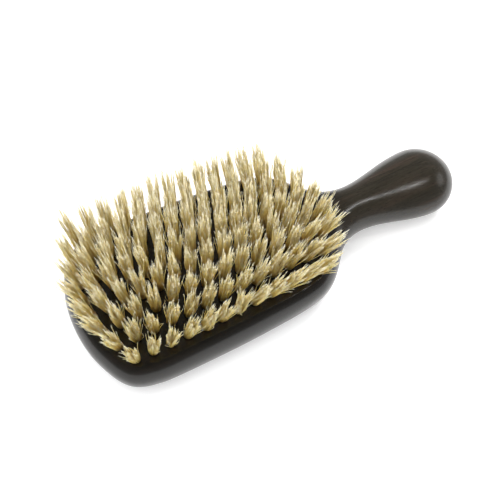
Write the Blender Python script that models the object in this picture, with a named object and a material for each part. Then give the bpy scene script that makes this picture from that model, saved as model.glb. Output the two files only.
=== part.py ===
"""Paddle hairbrush with natural bristle, hand-drawn construction.

The head and handle are one piece of polished dark hardwood. It is drilled right
through for the tufts, one wire runs behind each row of tufts, and a back board is
glued over the wires. The brush lies on its back with the bristles up.

Frame: X runs from the blunt end of the head (-X) to the end of the handle (+X),
Y runs across the head and Z is up, through the bristles. The origin is under the
middle of the brush, on the surface that it lies on. Metres throughout.
"""
from math import cos, pi, radians, sin, sqrt

import bmesh
import bpy
from mathutils import Vector

MM = 0.001
GAP = 0.3 * MM                    # clearance between pieces that touch

# The wooden body
HANDLE_RIGHT = 78 * MM
FACE_HEIGHT = 21.0 * MM           # highest point of the bristle face
RIM_HEIGHT = 12.1 * MM            # height at which the head is widest
TOP_ROUND = 4.2 * MM              # how far in the upper edge of the head rounds over
BACK_ROUND = 11.0 * MM            # how far in the lower edge rounds under
FACE_CROWN_X = -31 * MM           # where the face is highest along its length
CROWN_ALONG = 0.83                # drop of the face, in metres per square metre
CROWN_ACROSS = 1.7
KNOB_RADIUS = 14.2 * MM           # of its round end in plan
KNOB_CENTRE_X = HANDLE_RIGHT - KNOB_RADIUS
NECK_SECTION = (11.9 * MM, 8.7 * MM)      # height of its middle, half its thickness
KNOB_SECTION = (10.8 * MM, 10.5 * MM)
SHOULDER_START = 8 * MM           # the head's section turns into the neck's
SHOULDER_END = 33 * MM
SPINE_START = -50 * MM            # the rounded ends fan out from the spine's ends
NECK_END = 39 * MM                # the handle's section turns into the knob's

# Half of the plan outline, from the blunt end to where the knob's round end starts
OUTLINE_MM = (
    (-79.0, 0.0), (-78.0, 10.5), (-75.1, 19.6), (-71.7, 25.8), (-67.4, 29.3),
    (-60.8, 31.1), (-53.1, 31.7), (-36.3, 31.5), (-22.3, 31.0), (-4.4, 29.7),
    (4.6, 28.3), (9.9, 26.4), (14.1, 23.5), (18.4, 19.0), (23.2, 13.6),
    (28.1, 10.5), (33.7, 9.2), (39.3, 9.5), (46.3, 11.0), (53.3, 12.8),
    (59.5, 13.9), (63.8, 14.2),
)
STEPS_PER_SPAN = 2                # mesh stations in each span of the outline
KNOB_STEPS = 7
TOP_STEPS = 5                     # rings over the upper edge
BACK_STEPS = 6
FLAT_STEPS = 2                    # rings from the rounded edge to the spine
MERGE_DISTANCE = 0.05 * MM
SHARP_ANGLE = 40                  # degrees between faces with a crisp edge

# The tufts
ROW_COUNTS = (12, 13, 14, 15, 16, 15, 14, 13)     # from the -Y side to the +Y side
PITCH_ACROSS = 6.82 * MM
FIELD_CENTRE_X = -29.3 * MM       # where the rows are one pitch apart
FIELD_CENTRE_Y = 1.0 * MM
FIELD_START_X = -72.2 * MM        # first and last tuft of a row at the middle
FIELD_END_X = 16.8 * MM
BLUNT_CURVE = 40 * MM             # radius of the line through the rows' first tufts
HANDLE_CURVE = 31 * MM            # and of the line through their last tufts
ROW_TAPER = 2.0                   # how fast the rows draw together, per metre
BLUNT_DRAW = 42.0                 # and again at the blunt end, per square metre
LEAN_CENTRE_X = -35 * MM
LEAN_SIDE = 0.05                  # slope across of every tuft
LEAN_ACROSS = 0.094               # slope added by each row away from the middle
LEAN_BLUNT = 255.0                # slope along X for each square metre to the blunt end
BLUNT_TWIST = 0.023               # slope taken off there by each row from the middle
TWIST_END_X = 0 * MM
LEAN_HANDLE = 55.0                # slope along X for each square metre to the handle
HANDLE_SKEW = 0.37                # share of it taken off by each row towards +Y
TUFT_RADIUS = 1.5 * MM
TIP_RADIUS = 2.5 * MM
TUFT_LENGTH = 17.6 * MM           # what stands out of the face
STRAIGHT_LENGTH = 1.2 * MM        # above the face, before the tuft flares
HOLE_RADIUS = TUFT_RADIUS + 0.36 * MM
HOLE_ABOVE = 3.0 * MM             # how far the cutter of a hole passes the face
HOLE_BELOW = 2.0 * MM             # and the seam
TUFT_SIDES = 6

# Behind the tufts
SEAM_HEIGHT = 5.6 * MM            # between the stock and the back board
BOARD_ROUND = 60 * MM             # radius of the board's end towards the handle
BOARD_END_X = 22 * MM
BOARD_SIDES = 96
BOARD_BOTTOM = -5 * MM            # of its cutter, clear of the back
RECESS_FLOOR = SEAM_HEIGHT - 1 * MM       # of its cutter, inside the back board
RECESS_CEILING = 7.4 * MM
RECESS_INSET = 4.2 * MM           # from the head's plan outline
RECESS_END = (19.4 * MM, 12.5 * MM)       # its corner towards the handle
WIRE_RADIUS = 0.45 * MM
WIRE_HEIGHT = 6.7 * MM
TUFT_FOOT_HEIGHT = 6.35 * MM

DARK_WOOD = ((0.035, 0.028, 0.024, 1), 0.25)
BACK_WOOD = ((0.045, 0.034, 0.027, 1), 0.28)
BRISTLE = ((0.62, 0.52, 0.31, 1), 0.65)


def clear_scene():
    for item in list(bpy.data.objects):
        bpy.data.objects.remove(item, do_unlink=True)


def make_collection(name):
    collection = bpy.data.collections.new(name)
    bpy.context.scene.collection.children.link(collection)
    return collection


def make_material(name, look):
    colour, roughness = look
    material = bpy.data.materials.new(name)
    material.use_nodes = True
    shader = material.node_tree.nodes["Principled BSDF"]
    shader.inputs["Base Color"].default_value = colour
    shader.inputs["Roughness"].default_value = roughness
    return material


def add_object(name, bm, collection, material=None):
    bmesh.ops.recalc_face_normals(bm, faces=bm.faces[:])
    mesh = bpy.data.meshes.new(name)
    bm.to_mesh(mesh)
    bm.free()
    item = bpy.data.objects.new(name, mesh)
    collection.objects.link(item)
    if material:
        mesh.materials.append(material)
    return item


def hide_cutter(item):
    item.hide_render = True
    item.display_type = "WIRE"


def boolean(item, cutter, operation):
    modifier = item.modifiers.new(operation.lower(), "BOOLEAN")
    modifier.operation = operation
    modifier.solver = "EXACT"
    modifier.object = cutter


def shade(item):
    item.data.shade_smooth()
    item.data.set_sharp_from_angle(angle=radians(SHARP_ANGLE))


# ---------------------------------------------------------------- wooden form

def smooth_step(low, high, value):
    t = min(max((value - low) / (high - low), 0.0), 1.0)
    return t * t * (3 - 2 * t)


def mix(a, b, weight):
    return a + (b - a) * weight


def spline_point(p0, p1, p2, p3, t):
    """A point on the Catmull-Rom curve from p1 to p2."""
    return 0.5 * (
        2 * p1
        + (p2 - p0) * t
        + (2 * p0 - 5 * p1 + 4 * p2 - p3) * t * t
        + (3 * p1 - p0 - 3 * p2 + p3) * t ** 3
    )


def half_outline():
    """Plan points of the +Y half, from the blunt end to the end of the knob."""
    knots = [Vector((x * MM, y * MM)) for x, y in OUTLINE_MM]
    mirrored = Vector((knots[1].x, -knots[1].y))
    beyond = knots[-1] + Vector((knots[-1].x - knots[-2].x, 0))
    chain = [mirrored] + knots + [beyond]
    points = []
    for i in range(1, len(knots)):
        for step in range(STEPS_PER_SPAN):
            points.append(spline_point(*chain[i - 1:i + 3], step / STEPS_PER_SPAN))
    centre = Vector((KNOB_CENTRE_X, 0))
    for step in range(KNOB_STEPS + 1):
        angle = pi / 2 * (1 - step / KNOB_STEPS)
        points.append(centre + KNOB_RADIUS * Vector((cos(angle), sin(angle))))
    points[-1].y = 0.0
    return points


def face_height(x, y):
    along = CROWN_ALONG * (x - FACE_CROWN_X) ** 2
    return FACE_HEIGHT - along - CROWN_ACROSS * y * y


def section_at(x, y):
    """Height of the widest place, and the rise and fall from it, at a plan point."""
    neck = smooth_step(SHOULDER_START, SHOULDER_END, x)
    knob = smooth_step(NECK_END, KNOB_CENTRE_X, x)
    axis_height, half_thickness = (
        mix(at_neck, at_knob, knob) for at_neck, at_knob in zip(NECK_SECTION, KNOB_SECTION)
    )
    middle = mix(RIM_HEIGHT, axis_height, neck)
    rise = mix(face_height(x, y) - RIM_HEIGHT, half_thickness, neck)
    fall = mix(RIM_HEIGHT, half_thickness, neck)
    return middle, rise, fall


def nearest_spine(rim):
    """The point of the middle line that a point of the rim closes to."""
    return Vector((min(max(rim.x, SPINE_START), KNOB_CENTRE_X), 0))


def wooden_form():
    """The whole outside of the brush, lofted in rings from its rim to its spine."""
    outline = half_outline()
    bm = bmesh.new()
    for side in (1, -1):
        for back in (False, True):
            rows = [form_ring(bm, point, side, back) for point in outline]
            for near, far in zip(rows, rows[1:]):
                for i in range(len(near) - 1):
                    bm.faces.new((near[i], near[i + 1], far[i + 1], far[i]))
    bmesh.ops.remove_doubles(bm, verts=bm.verts[:], dist=MERGE_DISTANCE)
    bmesh.ops.dissolve_degenerate(bm, edges=bm.edges[:], dist=MERGE_DISTANCE)
    return bm


def form_ring(bm, rim, side, back):
    """Vertices from a point on the rim, over or under the edge, to the spine."""
    spine = nearest_spine(rim)
    reach = (spine - rim).length
    neck = smooth_step(SHOULDER_START, SHOULDER_END, rim.x)
    rounding = mix(BACK_ROUND if back else TOP_ROUND, reach, neck)
    rounding = min(rounding, reach)
    steps = BACK_STEPS if back else TOP_STEPS
    insets = []
    for step in range(steps + 1):
        insets.append(rounding * (1 - cos(pi / 2 * step / steps)))
    for step in range(1, FLAT_STEPS + 1):
        insets.append(mix(rounding, reach, step / FLAT_STEPS))
    verts = []
    for inset in insets:
        point = rim.lerp(spine, inset / reach) if reach else rim.copy()
        middle, rise, fall = section_at(point.x, point.y)
        slope = 1 - min(inset / rounding, 1.0)
        share = sqrt(max(1 - slope * slope, 0.0))
        height = middle - fall * share if back else middle + rise * share
        verts.append(bm.verts.new((point.x, side * point.y, height)))
    return verts


# --------------------------------------------------------------------- tufts

def row_offset(row):
    """Rows counted from the middle of the head."""
    return row - (len(ROW_COUNTS) - 1) / 2


def row_mouths(row):
    """Where the tufts of a row come out of the face."""
    count = ROW_COUNTS[row]
    across = row_offset(row) * PITCH_ACROSS
    first = FIELD_START_X + across ** 2 / (2 * BLUNT_CURVE)
    last = FIELD_END_X - across ** 2 / (2 * HANDLE_CURVE)
    mouths = []
    for i in range(count):
        x = mix(first, last, i / (count - 1))
        beyond = min(x - FIELD_CENTRE_X, 0.0)
        spacing = 1 - ROW_TAPER * (x - FIELD_CENTRE_X) - BLUNT_DRAW * beyond ** 2
        y = FIELD_CENTRE_Y + across * spacing
        mouths.append(Vector((x, y, face_height(x, y))))
    return mouths


def tuft_direction(row, x):
    """Tufts fan outwards: across the head by row, and towards both its ends."""
    offset = row_offset(row)
    from_centre = x - LEAN_CENTRE_X
    across = LEAN_SIDE + LEAN_ACROSS * offset
    along = BLUNT_TWIST * abs(offset) * smooth_step(TWIST_END_X, LEAN_CENTRE_X, x)
    if from_centre < 0:
        along -= LEAN_BLUNT * from_centre ** 2
    else:
        pushed = LEAN_HANDLE * from_centre ** 2
        along += pushed * (1 - HANDLE_SKEW * offset)
        across -= pushed
    return Vector((along, across, 1)).normalized()


def add_round(bm, foot, direction, radius, length):
    """A closed hexagonal prism from foot along direction; returns its top face."""
    before = set(bm.faces)
    turn = Vector((0, 0, 1)).rotation_difference(direction).to_matrix().to_4x4()
    turn.translation = foot + direction * (length / 2)
    bmesh.ops.create_cone(
        bm, cap_ends=True, segments=TUFT_SIDES, radius1=radius, radius2=radius,
        depth=length, matrix=turn,
    )
    new_faces = [face for face in bm.faces if face not in before]
    return max(new_faces, key=lambda face: face.calc_center_median().dot(direction))


def add_tuft(bm, mouth, direction):
    below = (mouth.z - TUFT_FOOT_HEIGHT) / direction.z
    foot = mouth - direction * below
    top = add_round(bm, foot, direction, TUFT_RADIUS, below + STRAIGHT_LENGTH)
    made = bmesh.ops.extrude_discrete_faces(bm, faces=[top])
    tip = mouth + direction * TUFT_LENGTH
    for vert in made["faces"][0].verts:
        offset = vert.co - (mouth + direction * STRAIGHT_LENGTH)
        vert.co = tip + offset * (TIP_RADIUS / TUFT_RADIUS)


def tuft_row(row, collection, cutters, material):
    bm = bmesh.new()
    path = []
    for mouth in row_mouths(row):
        direction = tuft_direction(row, mouth.x)
        add_tuft(bm, mouth, direction)
        path.append(mouth - direction * ((mouth.z - WIRE_HEIGHT) / direction.z))
    item = add_object(f"bristle_row_{row + 1}", bm, collection, material)
    wire = drawing_wire(row, path, cutters)
    boolean(item, wire, "UNION")
    return item


def drawing_wire(row, path, cutters):
    """The wire that runs behind a row and holds its tufts in their holes."""
    curve = bpy.data.curves.new("wire_path", "CURVE")
    curve.dimensions = "3D"
    curve.bevel_depth = WIRE_RADIUS
    curve.bevel_resolution = 0
    curve.use_fill_caps = True
    spline = curve.splines.new("POLY")
    spline.points.add(len(path) - 1)
    for point, place in zip(spline.points, path):
        point.co = (*place, 1)
    guide = bpy.data.objects.new("wire_path", curve)
    cutters.objects.link(guide)
    bpy.context.view_layer.update()
    evaluated = guide.evaluated_get(bpy.context.evaluated_depsgraph_get())
    mesh = bpy.data.meshes.new_from_object(evaluated)
    bm = bmesh.new()
    bm.from_mesh(mesh)
    bmesh.ops.remove_doubles(bm, verts=bm.verts[:], dist=MERGE_DISTANCE)
    wire = add_object(f"wire_{row + 1}", bm, cutters)
    wire.matrix_world = guide.matrix_world
    bpy.data.objects.remove(guide, do_unlink=True)
    hide_cutter(wire)
    return wire


# -------------------------------------------------------------------- cutters

def hole_cutter(cutters):
    """All the tuft holes as one set of prisms."""
    bm = bmesh.new()
    for row in range(len(ROW_COUNTS)):
        for mouth in row_mouths(row):
            direction = tuft_direction(row, mouth.x)
            below = (mouth.z - SEAM_HEIGHT) / direction.z + HOLE_BELOW
            foot = mouth - direction * below
            add_round(bm, foot, direction, HOLE_RADIUS, below + HOLE_ABOVE)
    cutter = add_object("tuft_holes", bm, cutters)
    hide_cutter(cutter)
    return cutter


def board_cutter(name, cutters, growth):
    """The space of the back board, grown or shrunk by half the gap."""
    top = SEAM_HEIGHT + growth
    bm = bmesh.new()
    bmesh.ops.create_cone(
        bm, cap_ends=True, segments=BOARD_SIDES, depth=top - BOARD_BOTTOM,
        radius1=BOARD_ROUND + growth, radius2=BOARD_ROUND + growth,
    )
    cutter = add_object(name, bm, cutters)
    cutter.location = (BOARD_END_X - BOARD_ROUND, 0, (top + BOARD_BOTTOM) / 2)
    hide_cutter(cutter)
    return cutter


def recess_cutter(cutters):
    """The shallow recess in the back of the stock that the wires lie in."""
    side = []
    for rim in half_outline():
        if rim.x < RECESS_END[0]:
            spine = nearest_spine(rim)
            side.append(rim.lerp(spine, RECESS_INSET / (spine - rim).length))
    side.append(Vector(RECESS_END))
    mirrored = [Vector((point.x, -point.y)) for point in reversed(side[1:])]
    bm = bmesh.new()
    floor = bm.faces.new([bm.verts.new((*point, RECESS_FLOOR)) for point in side + mirrored])
    made = bmesh.ops.extrude_face_region(bm, geom=[floor])["geom"]
    for vert in made:
        if isinstance(vert, bmesh.types.BMVert):
            vert.co.z = RECESS_CEILING
    cutter = add_object("wire_recess", bm, cutters)
    hide_cutter(cutter)
    return cutter


# ----------------------------------------------------------------------- brush

def main():
    clear_scene()
    brush = make_collection("paddle_brush")
    cutters = make_collection("cutters")
    dark_wood = make_material("dark_wood", DARK_WOOD)
    back_wood = make_material("back_wood", BACK_WOOD)
    bristle = make_material("bristle", BRISTLE)
    base = bpy.data.objects.new("brush_base", None)
    brush.objects.link(base)

    stock = add_object("head_and_handle", wooden_form(), brush, dark_wood)
    boolean(stock, board_cutter("board_space", cutters, GAP / 2), "DIFFERENCE")
    boolean(stock, recess_cutter(cutters), "DIFFERENCE")
    boolean(stock, hole_cutter(cutters), "DIFFERENCE")
    board = add_object("back_board", wooden_form(), brush, back_wood)
    boolean(board, board_cutter("board_shape", cutters, -GAP / 2), "INTERSECT")
    rows = [tuft_row(row, brush, cutters, bristle) for row in range(len(ROW_COUNTS))]
    for item in [stock, board] + rows:
        shade(item)
        item.parent = base


main()
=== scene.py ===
"""Looks of the paddle hairbrush: polished dark hardwood and natural bristle.

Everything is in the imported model's frame, in metres: X runs along the brush to
the end of the handle, Z is up, and the brush lies on its back at Z = 0.
"""

from math import cos, pi, radians, sin, sqrt

import bmesh
import bpy
import numpy as np
from mathutils import Matrix, Vector


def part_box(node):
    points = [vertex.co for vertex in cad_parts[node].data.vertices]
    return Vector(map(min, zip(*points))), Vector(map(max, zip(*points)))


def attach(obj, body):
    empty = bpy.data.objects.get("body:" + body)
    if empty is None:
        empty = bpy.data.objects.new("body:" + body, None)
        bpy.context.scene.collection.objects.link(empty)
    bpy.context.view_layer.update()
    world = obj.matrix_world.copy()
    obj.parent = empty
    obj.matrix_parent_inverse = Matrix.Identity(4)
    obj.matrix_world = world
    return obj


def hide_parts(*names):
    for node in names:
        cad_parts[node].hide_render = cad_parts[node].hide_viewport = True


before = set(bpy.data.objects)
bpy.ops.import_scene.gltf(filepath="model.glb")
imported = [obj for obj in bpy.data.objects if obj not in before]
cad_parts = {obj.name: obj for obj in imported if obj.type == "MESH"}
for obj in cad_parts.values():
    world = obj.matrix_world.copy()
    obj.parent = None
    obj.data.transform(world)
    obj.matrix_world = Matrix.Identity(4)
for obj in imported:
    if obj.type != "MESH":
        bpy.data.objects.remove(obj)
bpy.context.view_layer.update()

MM = 0.001

# The wooden body, as in the CAD model
HANDLE_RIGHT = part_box("head_and_handle")[1].x
FACE_HEIGHT = 21.0 * MM           # highest point of the bristle face
RIM_HEIGHT = 12.1 * MM            # height at which the head is widest
TOP_ROUND = 4.2 * MM              # how far in the upper edge of the head rounds over
BACK_ROUND = 11.0 * MM            # how far in the lower edge rounds under
FACE_CROWN_X = -31 * MM           # where the face is highest along its length
CROWN_ALONG = 0.83                # drop of the face, in metres per square metre
CROWN_ACROSS = 1.7
KNOB_RADIUS = 14.2 * MM           # of the handle's round end in plan
KNOB_CENTRE_X = HANDLE_RIGHT - KNOB_RADIUS
NECK_SECTION = (11.9 * MM, 8.7 * MM)      # height of its middle, half its thickness
KNOB_SECTION = (10.8 * MM, 10.5 * MM)
SHOULDER_START = 8 * MM           # the head's section turns into the neck's
SHOULDER_END = 33 * MM
SPINE_START = -50 * MM            # the rounded ends fan out from the spine's ends
NECK_END = 39 * MM                # the handle's section turns into the knob's

# Half of the plan outline, from the blunt end to where the knob's round end starts
OUTLINE_MM = (
    (-79.0, 0.0), (-78.0, 10.5), (-75.1, 19.6), (-71.7, 25.8), (-67.4, 29.3),
    (-60.8, 31.1), (-53.1, 31.7), (-36.3, 31.5), (-22.3, 31.0), (-4.4, 29.7),
    (4.6, 28.3), (9.9, 26.4), (14.1, 23.5), (18.4, 19.0), (23.2, 13.6),
    (28.1, 10.5), (33.7, 9.2), (39.3, 9.5), (46.3, 11.0), (53.3, 12.8),
    (59.5, 13.9), (63.8, 14.2),
)
STEPS_PER_SPAN = 8                # mesh stations in each span of the outline
KNOB_STEPS = 20
TOP_STEPS = 12                    # rings over the upper edge
BACK_STEPS = 14
FLAT_STEPS = 8                    # rings from the rounded edge to the spine
MERGE_DISTANCE = 0.00001
SHARP_ANGLE = 35                  # degrees between faces with a crisp edge

# The glued back board
SEAM_HEIGHT = 5.6 * MM
SEAM_GAP = 0.12 * MM
BOARD_ROUND = 60 * MM             # radius of the board's end towards the handle
BOARD_END_X = 22 * MM
BOARD_SIDES = 256
BOARD_BOTTOM = -5 * MM            # of its cutter, clear of the back

# The tufts, as in the CAD model
ROW_COUNTS = (12, 13, 14, 15, 16, 15, 14, 13)     # from the -Y side to the +Y side
PITCH_ACROSS = 6.82 * MM
FIELD_CENTRE_X = -29.3 * MM       # where the rows are one pitch apart
FIELD_CENTRE_Y = 1.0 * MM
FIELD_START_X = -72.2 * MM        # first and last tuft of a row at the middle
FIELD_END_X = 16.8 * MM
BLUNT_CURVE = 40 * MM             # radius of the line through the rows' first tufts
HANDLE_CURVE = 31 * MM            # and of the line through their last tufts
ROW_TAPER = 2.0                   # how fast the rows draw together, per metre
BLUNT_DRAW = 42.0                 # and again at the blunt end, per square metre
LEAN_CENTRE_X = -35 * MM
LEAN_SIDE = 0.05                  # slope across of every tuft
LEAN_ACROSS = 0.094               # slope added by each row away from the middle
LEAN_BLUNT = 255.0                # slope along X for each square metre to the blunt end
BLUNT_TWIST = 0.023               # slope taken off there by each row from the middle
TWIST_END_X = 0 * MM              # where that stops
LEAN_HANDLE = 55.0                # slope along X for each square metre to the handle
HANDLE_SKEW = 0.37                # share of it taken off by each row towards +Y
TUFT_LENGTH = 17.6 * MM           # what stands out of the face, before it varies
HOLE_RADIUS = 1.78 * MM
HOLE_DEPTH = 7 * MM
HOLE_ABOVE = HOLE_DEPTH / 2       # how far a hole's cutter passes the face
HOLE_SIDES = 28

# The wood. Scales are in cycles per metre, along the grain and twice across it.
WOOD_STREAKS = (14, 160, 160)
WOOD_GRAIN = (70, 2400, 2400)
WOOD_PORES = (420, 5200, 5200)
WOOD_COLOURS = (
    (0.30, (0.0135, 0.0115, 0.0080)),
    (0.50, (0.0185, 0.0155, 0.0105)),
    (0.70, (0.030, 0.0205, 0.0145)),
)
WOOD_ROUGHNESS = (0.17, 0.27)
ROUGHNESS_NOISE = (0.3, 0.7)      # noise over which it goes from one to the other
WOOD_SPECULAR = 0.38
GRAIN_CONTRAST = (0.8, 1.15)      # colour of the grain's lines, dark and light
GRAIN_NOISE = (0.35, 0.7)
PORE_DARK = 0.5
PORE_NOISE = (0.62, 0.70)
PORE_BUMP = 0.25
PORE_DEPTH = 0.00004

# Painted shade: the head's wood colour is darkened for the bristles' shadow over it and the
# brighter light on the handle, fading out along the neck
HEAD_PAINTED_SHADE = 0.4
PAINTED_SHADE_FADE_FROM_X = 0.010
PAINTED_SHADE_FADE_TO_X = 0.034

# The bristles. Each colour is at a share of the length, each tint at a hair's own tint.
BRISTLE_COLOURS = (
    (0.0, (0.48, 0.23, 0.045)),
    (0.35, (0.79, 0.525, 0.122)),
    (0.7, (0.87, 0.685, 0.212)),
    (1.0, (0.84, 0.755, 0.415)),
)
BRISTLE_TINTS = (
    (0.0, (0.84, 0.78, 0.68)),
    (0.35, (0.98, 0.95, 0.88)),
    (0.7, (1.0, 1.0, 1.0)),
    (1.0, (1.03, 1.03, 1.07)),
)
TINT_MIDDLE = 0.5
HAIR_TINTS = 0.2                  # how much the tint varies from hair to hair
TUFT_TINTS = 0.12                 # and from tuft to tuft
BRISTLE_ROUGHNESS = 0.7
BRISTLE_SPECULAR = 0.12
BRISTLE_GLOW = 0.8                # share of the light that goes through the hair
GLOW_RADIUS = (1.0, 0.8, 0.5)
GLOW_SCALE = 0.0012
FIRST_SEED = 100
HAIRS_PER_TUFT = 180
ROOT_DEPTH = 2.5 * MM             # of the hairs' ends below the face
ROOT_RADIUS = 1.68 * MM           # of the tuft at the face
TIP_RADIUS = 2.4 * MM
HAIR_RADIUS = 0.086 * MM
HAIR_RADII = (0.8, 1.2)           # share of it that a hair may have
HAIR_STATIONS = (0.3, 0.62, 0.86, 1.0)    # of a hair's rings, after its root
HAIR_TAPER = (1.0, 0.98, 0.9, 0.72, 0.12)
FLARE = 1.15                      # power of the spread along a tuft
SCATTER = 0.45 * MM
CLUMPS = 10                       # points that a tuft ends in
CLUMP_PULL = 0.75                 # how far hairs draw in to their point
PULL_RANGE = (0.5, 1.3)
CLUMP_LATE = 6                    # power of the drawing in along a hair
SPLAY = 1.15                      # how far the points spread from the middle
CLUMP_LENGTHS = (0.88, 1.02)
POINTED = 0.52                    # how much shorter the hairs around a point are
HAIR_BEND = 0.9 * MM
TUFT_BEND = 0.5 * MM
LONGEST = 0.4                     # share by which the longest hair is longer
LONG_RARITY = 3
STRAY_SHARE = 0.07
STRAY_SPREAD = 1.8
STRAY_LENGTH = 1.1
FLAG_FROM = 0.82                  # where a hair splits into a second, finer point
FLAG_SPREAD = 0.38 * MM
FLAG_THICKNESS = 0.6

# The camera
CAMERA_AZIMUTH = -28.74
CAMERA_ELEVATION = 59.55
CAMERA_ROLL = 1.72
CAMERA_DISTANCE = 0.36186
CAMERA_TARGET = Vector((-0.01105, -0.00348, 0.0210))
LENS = 72                         # focal length in millimetres

# The studio's walls are bright and its ceiling is dark
ROOM_BRIGHT = 0.5
ROOM_DARK = 0.15
WALL_TOP = 0.15                   # upward parts of the directions between which it darkens
CEILING = 0.85
FLOOR_RADIUS = 6
FLOOR_SIDES = 96
FLOOR_COLOUR = (0.8, 0.8, 0.8, 1)
FLOOR_ROUGHNESS = 0.9
FLOOR_GLOW = 0.35
FLOOR_SPECULAR = 0.1
HEAD_MIDDLE = Vector((-0.03, 0, 0.02))
HANDLE_MIDDLE = Vector((0.05, 0, 0.02))

# Oval lamps: what each is aimed at, its azimuth, elevation and distance, its width
# and height, its power, its turn, and whether the polish reflects it
SOFTBOXES = {
    "key": (HEAD_MIDDLE, -75, 72, 1.0, (1.6, 1.6), 18, 0, False),
    "fill": (HANDLE_MIDDLE, 125, 50, 0.8, (0.5, 0.5), 7, 0, False),
    "streak": (HANDLE_MIDDLE, 57, 67, 0.3, (0.020, 0.015), 0.075, 45, True),
    "patch": (HANDLE_MIDDLE, 74, 27, 0.35, (0.18, 0.13), 0.10, 0, True),
}

# Sockets of a Mix node for colours
MIX_FACTOR, MIX_A, MIX_B = 0, 6, 7
MIX_RESULT = 2


# ----------------------------------------------------------------- materials

def new_material(name):
    material = bpy.data.materials.new(name)
    material.use_nodes = True
    shader = material.node_tree.nodes["Principled BSDF"]
    return material, shader


def add_node(owner, kind, **values):
    """A new node in the tree of a material or a world."""
    node = owner.node_tree.nodes.new(kind)
    for name, value in values.items():
        if name in node.inputs:
            node.inputs[name].default_value = value
        else:
            setattr(node, name, value)
    return node


def link(owner, source, target):
    owner.node_tree.links.new(source, target)


def split(owner, coordinate):
    """The X, Y and Z of a texture coordinate."""
    vector = add_node(owner, "ShaderNodeTexCoord").outputs[coordinate]
    parts = add_node(owner, "ShaderNodeSeparateXYZ")
    link(owner, vector, parts.inputs["Vector"])
    return parts.outputs


def ramp(material, factor, stops):
    node = add_node(material, "ShaderNodeValToRGB")
    elements = node.color_ramp.elements
    while len(elements) < len(stops):
        elements.new(0.5)
    for element, (position, colour) in zip(elements, stops):
        element.position = position
        element.color = (*colour, 1)
    link(material, factor, node.inputs["Fac"])
    return node.outputs["Color"]


def stretched(material, scale):
    """Object coordinates, scaled along each axis."""
    place = add_node(material, "ShaderNodeTexCoord").outputs["Object"]
    mapping = add_node(material, "ShaderNodeMapping")
    mapping.inputs["Scale"].default_value = scale
    link(material, place, mapping.inputs["Vector"])
    return mapping.outputs["Vector"]


def noise(material, vector, detail, roughness, distortion=0.0):
    node = add_node(material, "ShaderNodeTexNoise", Scale=1.0, Detail=detail,
                    Roughness=roughness, Distortion=distortion)
    link(material, vector, node.inputs["Vector"])
    return node.outputs["Fac"]


def multiply(material, a, b):
    node = add_node(material, "ShaderNodeMix", data_type="RGBA", blend_type="MULTIPLY")
    node.inputs[MIX_FACTOR].default_value = 1.0
    link(material, a, node.inputs[MIX_A])
    link(material, b, node.inputs[MIX_B])
    return node.outputs[MIX_RESULT]


def map_range(owner, value, low, high, new_low, new_high):
    node = add_node(owner, "ShaderNodeMapRange")
    link(owner, value, node.inputs["Value"])
    node.inputs["From Min"].default_value = low
    node.inputs["From Max"].default_value = high
    node.inputs["To Min"].default_value = new_low
    node.inputs["To Max"].default_value = new_high
    return node.outputs["Result"]


def polished_wood(name):
    """Close-grained dark hardwood, long streaks and short pores under a polish."""
    material, shader = new_material(name)
    streaks = noise(material, stretched(material, WOOD_STREAKS), detail=5,
                    roughness=0.55, distortion=0.6)
    grain = noise(material, stretched(material, WOOD_GRAIN), detail=3, roughness=0.6)
    pores = noise(material, stretched(material, WOOD_PORES), detail=1, roughness=0.5)
    base = ramp(material, streaks, WOOD_COLOURS)
    along = split(material, "Object")["X"]
    # painted shade: the head's colour is darkened, fading out along the neck towards the
    # handle
    painted_shade = map_range(material, along, PAINTED_SHADE_FADE_FROM_X, PAINTED_SHADE_FADE_TO_X, HEAD_PAINTED_SHADE, 1.0)
    base = multiply(material, base, painted_shade)
    lines = map_range(material, grain, *GRAIN_NOISE, *GRAIN_CONTRAST)
    base = multiply(material, base, lines)
    pits = map_range(material, pores, *PORE_NOISE, 1.0, PORE_DARK)
    base = multiply(material, base, pits)
    link(material, base, shader.inputs["Base Color"])
    rough = map_range(material, grain, *ROUGHNESS_NOISE, *WOOD_ROUGHNESS)
    link(material, rough, shader.inputs["Roughness"])
    shader.inputs["Specular IOR Level"].default_value = WOOD_SPECULAR
    bump = add_node(material, "ShaderNodeBump", Strength=PORE_BUMP, Distance=PORE_DEPTH)
    link(material, pits, bump.inputs["Height"])
    link(material, bump.outputs["Normal"], shader.inputs["Normal"])
    return material


def natural_bristle():
    """Boar bristle: tan at the root, straw along the shaft and cream at the tip."""
    material, shader = new_material("natural_bristle")
    along = add_node(material, "ShaderNodeAttribute", attribute_name="along").outputs["Fac"]
    tint = add_node(material, "ShaderNodeAttribute", attribute_name="tint").outputs["Fac"]
    colour = ramp(material, along, BRISTLE_COLOURS)
    base = multiply(material, colour, ramp(material, tint, BRISTLE_TINTS))
    link(material, base, shader.inputs["Base Color"])
    shader.inputs["Roughness"].default_value = BRISTLE_ROUGHNESS
    shader.inputs["Specular IOR Level"].default_value = BRISTLE_SPECULAR
    shader.inputs["Subsurface Weight"].default_value = BRISTLE_GLOW
    shader.inputs["Subsurface Radius"].default_value = GLOW_RADIUS
    shader.inputs["Subsurface Scale"].default_value = GLOW_SCALE
    return material


# ---------------------------------------------------------------- mesh helpers

def add_object(name, mesh, material=None):
    item = bpy.data.objects.new(name, mesh)
    bpy.context.scene.collection.objects.link(item)
    if material:
        mesh.materials.append(material)
    return item


def object_from(name, bm, material=None):
    bmesh.ops.recalc_face_normals(bm, faces=bm.faces[:])
    mesh = bpy.data.meshes.new(name)
    bm.to_mesh(mesh)
    bm.free()
    return add_object(name, mesh, material)


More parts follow.
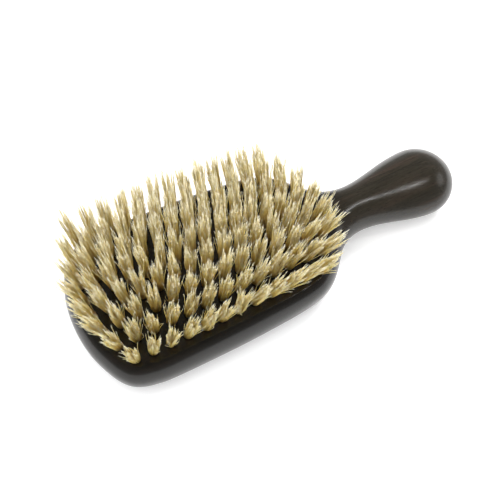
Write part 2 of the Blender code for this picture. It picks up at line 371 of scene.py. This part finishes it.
def cut(item, cutter, operation):
    """Applies a Boolean to item's mesh and removes the cutter."""
    modifier = item.modifiers.new(operation.lower(), "BOOLEAN")
    modifier.operation = operation
    modifier.solver = "EXACT"
    modifier.object = cutter
    graph = bpy.context.evaluated_depsgraph_get()
    mesh = bpy.data.meshes.new_from_object(item.evaluated_get(graph))
    item.modifiers.clear()
    item.data = mesh
    bpy.data.objects.remove(cutter, do_unlink=True)


def shade(item):
    item.data.shade_smooth()
    item.data.set_sharp_from_angle(angle=radians(SHARP_ANGLE))


# ----------------------------------------------------------------- wooden form

def smooth_step(low, high, value):
    t = min(max((value - low) / (high - low), 0.0), 1.0)
    return t * t * (3 - 2 * t)


def mix(a, b, weight):
    return a + (b - a) * weight


def spline_point(p0, p1, p2, p3, t):
    """A point on the Catmull-Rom curve from p1 to p2."""
    return 0.5 * (
        2 * p1
        + (p2 - p0) * t
        + (2 * p0 - 5 * p1 + 4 * p2 - p3) * t * t
        + (3 * p1 - p0 - 3 * p2 + p3) * t ** 3
    )


def half_outline():
    """Plan points of the +Y half, from the blunt end to the end of the knob."""
    knots = [Vector((x * MM, y * MM)) for x, y in OUTLINE_MM]
    mirrored = Vector((knots[1].x, -knots[1].y))
    beyond = knots[-1] + Vector((knots[-1].x - knots[-2].x, 0))
    chain = [mirrored] + knots + [beyond]
    points = []
    for i in range(1, len(knots)):
        for step in range(STEPS_PER_SPAN):
            points.append(spline_point(*chain[i - 1:i + 3], step / STEPS_PER_SPAN))
    centre = Vector((KNOB_CENTRE_X, 0))
    for step in range(KNOB_STEPS + 1):
        angle = pi / 2 * (1 - step / KNOB_STEPS)
        points.append(centre + KNOB_RADIUS * Vector((cos(angle), sin(angle))))
    points[-1].y = 0.0
    return points


def face_height(x, y):
    along = CROWN_ALONG * (x - FACE_CROWN_X) ** 2
    return FACE_HEIGHT - along - CROWN_ACROSS * y * y


def section_at(x, y):
    """Height of the widest place, and the rise and fall from it, at a plan point."""
    neck = smooth_step(SHOULDER_START, SHOULDER_END, x)
    knob = smooth_step(NECK_END, KNOB_CENTRE_X, x)
    axis_height, half_thickness = (
        mix(at_neck, at_knob, knob) for at_neck, at_knob in zip(NECK_SECTION, KNOB_SECTION)
    )
    middle = mix(RIM_HEIGHT, axis_height, neck)
    rise = mix(face_height(x, y) - RIM_HEIGHT, half_thickness, neck)
    fall = mix(RIM_HEIGHT, half_thickness, neck)
    return middle, rise, fall


def form_ring(bm, rim, side, back):
    """Vertices from a point on the rim, over or under the edge, to the spine."""
    spine = Vector((min(max(rim.x, SPINE_START), KNOB_CENTRE_X), 0))
    reach = (spine - rim).length
    neck = smooth_step(SHOULDER_START, SHOULDER_END, rim.x)
    rounding = mix(BACK_ROUND if back else TOP_ROUND, reach, neck)
    rounding = min(rounding, reach)
    steps = BACK_STEPS if back else TOP_STEPS
    insets = []
    for step in range(steps + 1):
        insets.append(rounding * (1 - cos(pi / 2 * step / steps)))
    for step in range(1, FLAT_STEPS + 1):
        insets.append(mix(rounding, reach, step / FLAT_STEPS))
    verts = []
    for inset in insets:
        point = rim.lerp(spine, inset / reach) if reach else rim.copy()
        middle, rise, fall = section_at(point.x, point.y)
        slope = 1 - min(inset / rounding, 1.0)
        share = sqrt(max(1 - slope * slope, 0.0))
        height = middle - fall * share if back else middle + rise * share
        verts.append(bm.verts.new((point.x, side * point.y, height)))
    return verts


def wooden_form():
    """The whole outside of the brush, lofted in rings from its rim to its spine."""
    outline = half_outline()
    bm = bmesh.new()
    for side in (1, -1):
        for back in (False, True):
            rows = [form_ring(bm, point, side, back) for point in outline]
            for near, far in zip(rows, rows[1:]):
                for i in range(len(near) - 1):
                    bm.faces.new((near[i], near[i + 1], far[i + 1], far[i]))
    bmesh.ops.remove_doubles(bm, verts=bm.verts[:], dist=MERGE_DISTANCE)
    bmesh.ops.dissolve_degenerate(bm, edges=bm.edges[:], dist=MERGE_DISTANCE)
    return bm


def board_shape(growth):
    """The round-ended space of the back board, grown or shrunk all round."""
    top = SEAM_HEIGHT + growth
    centre = Vector((BOARD_END_X - BOARD_ROUND, 0, (top + BOARD_BOTTOM) / 2))
    bm = bmesh.new()
    bmesh.ops.create_cone(
        bm, cap_ends=True, segments=BOARD_SIDES, depth=top - BOARD_BOTTOM,
        radius1=BOARD_ROUND + growth, radius2=BOARD_ROUND + growth,
        matrix=Matrix.Translation(centre),
    )
    return object_from("board_shape", bm)


# --------------------------------------------------------------------- tufts

def row_offset(row):
    """Rows counted from the middle of the head."""
    return row - (len(ROW_COUNTS) - 1) / 2


def row_mouths(row):
    """Where the tufts of a row come out of the face."""
    count = ROW_COUNTS[row]
    across = row_offset(row) * PITCH_ACROSS
    first = FIELD_START_X + across ** 2 / (2 * BLUNT_CURVE)
    last = FIELD_END_X - across ** 2 / (2 * HANDLE_CURVE)
    mouths = []
    for i in range(count):
        x = mix(first, last, i / (count - 1))
        beyond = min(x - FIELD_CENTRE_X, 0.0)
        spacing = 1 - ROW_TAPER * (x - FIELD_CENTRE_X) - BLUNT_DRAW * beyond ** 2
        y = FIELD_CENTRE_Y + across * spacing
        mouths.append(Vector((x, y, face_height(x, y))))
    return mouths


def tuft_direction(row, x):
    """Tufts fan outwards: across the head by row, and towards both its ends."""
    offset = row_offset(row)
    from_centre = x - LEAN_CENTRE_X
    across = LEAN_SIDE + LEAN_ACROSS * offset
    along = BLUNT_TWIST * abs(offset) * smooth_step(TWIST_END_X, LEAN_CENTRE_X, x)
    if from_centre < 0:
        along -= LEAN_BLUNT * from_centre ** 2
    else:
        pushed = LEAN_HANDLE * from_centre ** 2
        along += pushed * (1 - HANDLE_SKEW * offset)
        across -= pushed
    return Vector((along, across, 1)).normalized()


def hole_cutter():
    bm = bmesh.new()
    for row in range(len(ROW_COUNTS)):
        for mouth in row_mouths(row):
            direction = tuft_direction(row, mouth.x)
            turn = Vector((0, 0, 1)).rotation_difference(direction).to_matrix().to_4x4()
            turn.translation = mouth - direction * ((HOLE_DEPTH - HOLE_ABOVE) / 2)
            bmesh.ops.create_cone(
                bm, cap_ends=True, segments=HOLE_SIDES, radius1=HOLE_RADIUS,
                radius2=HOLE_RADIUS, depth=HOLE_DEPTH + HOLE_ABOVE, matrix=turn,
            )
    return object_from("tuft_holes", bm)


def disc(rng, count, radius):
    angle = rng.uniform(0, 2 * pi, count)
    reach = radius * np.sqrt(rng.uniform(0, 1, count))
    return np.stack((reach * np.cos(angle), reach * np.sin(angle)), axis=1)


def clumped(rng, spread):
    """How far each hair draws in to its tuft's nearest point, and how long it is."""
    centres = spread[rng.choice(len(spread), CLUMPS, replace=False)]
    gaps = np.linalg.norm(spread[:, None] - centres[None], axis=2)
    nearest = gaps.argmin(axis=1)
    pull = CLUMP_PULL * rng.uniform(*PULL_RANGE, (len(spread), 1))
    lengths = rng.uniform(*CLUMP_LENGTHS, CLUMPS)[nearest]
    shorter = POINTED * gaps.min(axis=1) / TIP_RADIUS
    drawn = (centres[nearest] * SPLAY - spread) * pull
    return drawn, TUFT_LENGTH * (lengths - shorter)


class Strands:
    """Gathers closed strands into one mesh, with its colour attributes."""

    def __init__(self):
        self.points = []
        self.faces = []
        self.along = []
        self.tint = []
        self.count = 0

    def add(self, points, faces, along, tint):
        """points: strands x vertices x 3. faces: one strand's vertex loops."""
        strands, size = points.shape[:2]
        self.points.append(points.reshape(-1, 3))
        for loop in faces:
            starts = self.count + size * np.arange(strands)
            self.faces += (starts[:, None] + np.array(loop)).tolist()
        self.along.append(np.tile(along, strands))
        self.tint.append(np.repeat(tint, size))
        self.count += strands * size

    def to_mesh(self, name):
        mesh = bpy.data.meshes.new(name)
        mesh.from_pydata(np.concatenate(self.points).tolist(), [], self.faces)
        for label, parts in (("along", self.along), ("tint", self.tint)):
            values = np.concatenate(parts).astype(np.float32)
            mesh.attributes.new(label, "FLOAT", "POINT").data.foreach_set("value", values)
        mesh.shade_smooth()
        return mesh


def tube_faces(rings):
    """Loops of a three-sided tube with both its ends closed."""
    faces = [(2, 1, 0), tuple(3 * (rings - 1) + i for i in range(3))]
    for ring in range(rings - 1):
        for i in range(3):
            a, b = 3 * ring + i, 3 * ring + (i + 1) % 3
            faces.append((a, b, b + 3, a + 3))
    return faces


SPIKE_FACES = [(2, 1, 0), (0, 1, 3), (1, 2, 3), (2, 0, 3)]


def add_tuft(rng, strands, mouth, direction):
    turn = Vector((0, 0, 1)).rotation_difference(direction).to_matrix()
    across = np.array([turn @ Vector((1, 0, 0)), turn @ Vector((0, 1, 0))])
    axis = np.array(direction)
    count = HAIRS_PER_TUFT

    roots = disc(rng, count, ROOT_RADIUS)
    spread = roots * (TIP_RADIUS / ROOT_RADIUS) + disc(rng, count, SCATTER)
    drawn, length = clumped(rng, spread)
    length *= 1 + LONGEST * rng.uniform(0, 1, count) ** LONG_RARITY
    stray = rng.uniform(0, 1, count) < STRAY_SHARE
    spread[stray] *= STRAY_SPREAD
    length[stray] *= STRAY_LENGTH
    spread += disc(rng, 1, TUFT_BEND)
    bend = disc(rng, count, HAIR_BEND)
    thick = HAIR_RADIUS * rng.uniform(*HAIR_RADII, count)
    tint = rng.normal(TINT_MIDDLE, HAIR_TINTS, count) + rng.normal(0, TUFT_TINTS)
    tint = np.clip(tint, 0, 1)
    spin = rng.uniform(0, 2 * pi, count)

    def centre(s):
        """Middles of the hairs at the share s of their lengths, or of their roots below 0."""
        share = max(s, 0.0)
        flare = share ** FLARE
        offset = roots * (1 - flare) + spread * flare
        offset = offset + drawn * share ** CLUMP_LATE + bend * (share - share ** 2)
        rise = length * share if s >= 0 else np.full(count, -ROOT_DEPTH)
        return np.array(mouth) + offset @ across + rise[:, None] * axis

    def ring(middle, radius):
        angles = spin[:, None] + np.arange(3) * 2 * pi / 3
        offset = np.stack((np.cos(angles), np.sin(angles)), axis=2) @ across
        return middle[:, None] + offset * radius[:, None, None]

    stations = (-1.0,) + HAIR_STATIONS
    rings = [ring(centre(s), thick * taper) for s, taper in zip(stations, HAIR_TAPER)]
    along = np.repeat(np.maximum(stations, 0), 3)
    strands.add(np.concatenate(rings, axis=1), tube_faces(len(rings)), along, tint)

    base = ring(centre(FLAG_FROM), thick * FLAG_THICKNESS)
    end = centre(1.0) + disc(rng, count, FLAG_SPREAD) @ across
    spike = np.concatenate((base, end[:, None]), axis=1)
    strands.add(spike, SPIKE_FACES, np.array((FLAG_FROM,) * 3 + (1.0,)), tint)


def bristle_row(row, material):
    rng = np.random.default_rng(FIRST_SEED + row)
    strands = Strands()
    for mouth in row_mouths(row):
        add_tuft(rng, strands, mouth, tuft_direction(row, mouth.x))
    node = f"bristle_row_{row + 1}"
    item = add_object(f"bristles_{row + 1}", strands.to_mesh(node), material)
    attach(item, "root")
    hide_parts(node)


# ------------------------------------------------------------ camera and studio

def direction_from(azimuth, elevation):
    """Unit vector towards a place seen at this azimuth and elevation, in degrees."""
    a, e = radians(azimuth), radians(elevation)
    return Vector((sin(a) * cos(e), -cos(a) * cos(e), sin(e)))


def looking(place, target, roll=0.0):
    """A matrix at place whose -Z looks at target."""
    turn = (target - place).to_track_quat("-Z", "Y").to_matrix().to_4x4()
    return Matrix.Translation(place) @ turn @ Matrix.Rotation(radians(roll), 4, "Z")


def add_camera():
    data = bpy.data.cameras.new("camera")
    data.lens = LENS
    camera = add_object("camera", data)
    place = CAMERA_TARGET + direction_from(CAMERA_AZIMUTH, CAMERA_ELEVATION) * CAMERA_DISTANCE
    camera.matrix_world = looking(place, CAMERA_TARGET, CAMERA_ROLL)
    bpy.context.scene.camera = camera


def add_softbox(name, target, azimuth, elevation, distance, size, power, turn, reflected):
    data = bpy.data.lights.new(name, "AREA")
    data.shape = "ELLIPSE"
    data.size, data.size_y = size
    data.energy = power
    light = add_object(name, data)
    place = target + direction_from(azimuth, elevation) * distance
    light.matrix_world = looking(place, target, turn)
    light.visible_glossy = reflected


def add_studio():
    bm = bmesh.new()
    bmesh.ops.create_circle(bm, cap_ends=True, segments=FLOOR_SIDES, radius=FLOOR_RADIUS)
    floor_material, shader = new_material("floor")
    shader.inputs["Base Color"].default_value = FLOOR_COLOUR
    shader.inputs["Roughness"].default_value = FLOOR_ROUGHNESS
    shader.inputs["Emission Color"].default_value = (1, 1, 1, 1)
    shader.inputs["Emission Strength"].default_value = FLOOR_GLOW
    shader.inputs["Specular IOR Level"].default_value = FLOOR_SPECULAR
    floor = object_from("floor", bm, floor_material)

    world = bpy.data.worlds.new("studio")
    world.use_nodes = True
    background = world.node_tree.nodes["Background"]
    background.inputs["Color"].default_value = (1, 1, 1, 1)
    upwards = split(world, "Generated")["Z"]
    room = map_range(world, upwards, WALL_TOP, CEILING, ROOM_BRIGHT, ROOM_DARK)
    link(world, room, background.inputs["Strength"])
    bpy.context.scene.world = world

    for name, settings in SOFTBOXES.items():
        add_softbox(name, *settings)
    bpy.context.scene.view_settings.view_transform = "Standard"


# ----------------------------------------------------------------------- brush

def build_wood():
    stock = object_from("stock", wooden_form(), polished_wood("polished_wood"))
    cut(stock, board_shape(SEAM_GAP / 2), "DIFFERENCE")
    cut(stock, hole_cutter(), "DIFFERENCE")
    board = object_from("board", wooden_form(), polished_wood("polished_board"))
    cut(board, board_shape(-SEAM_GAP / 2), "INTERSECT")
    for item, node, slot in ((stock, "head_and_handle", "dark_wood"),
                             (board, "back_board", "back_wood")):
        shade(item)
        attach(item, "root")
        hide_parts(node)


add_camera()
add_studio()
build_wood()
bristle = natural_bristle()
for row in range(len(ROW_COUNTS)):
    bristle_row(row, bristle)
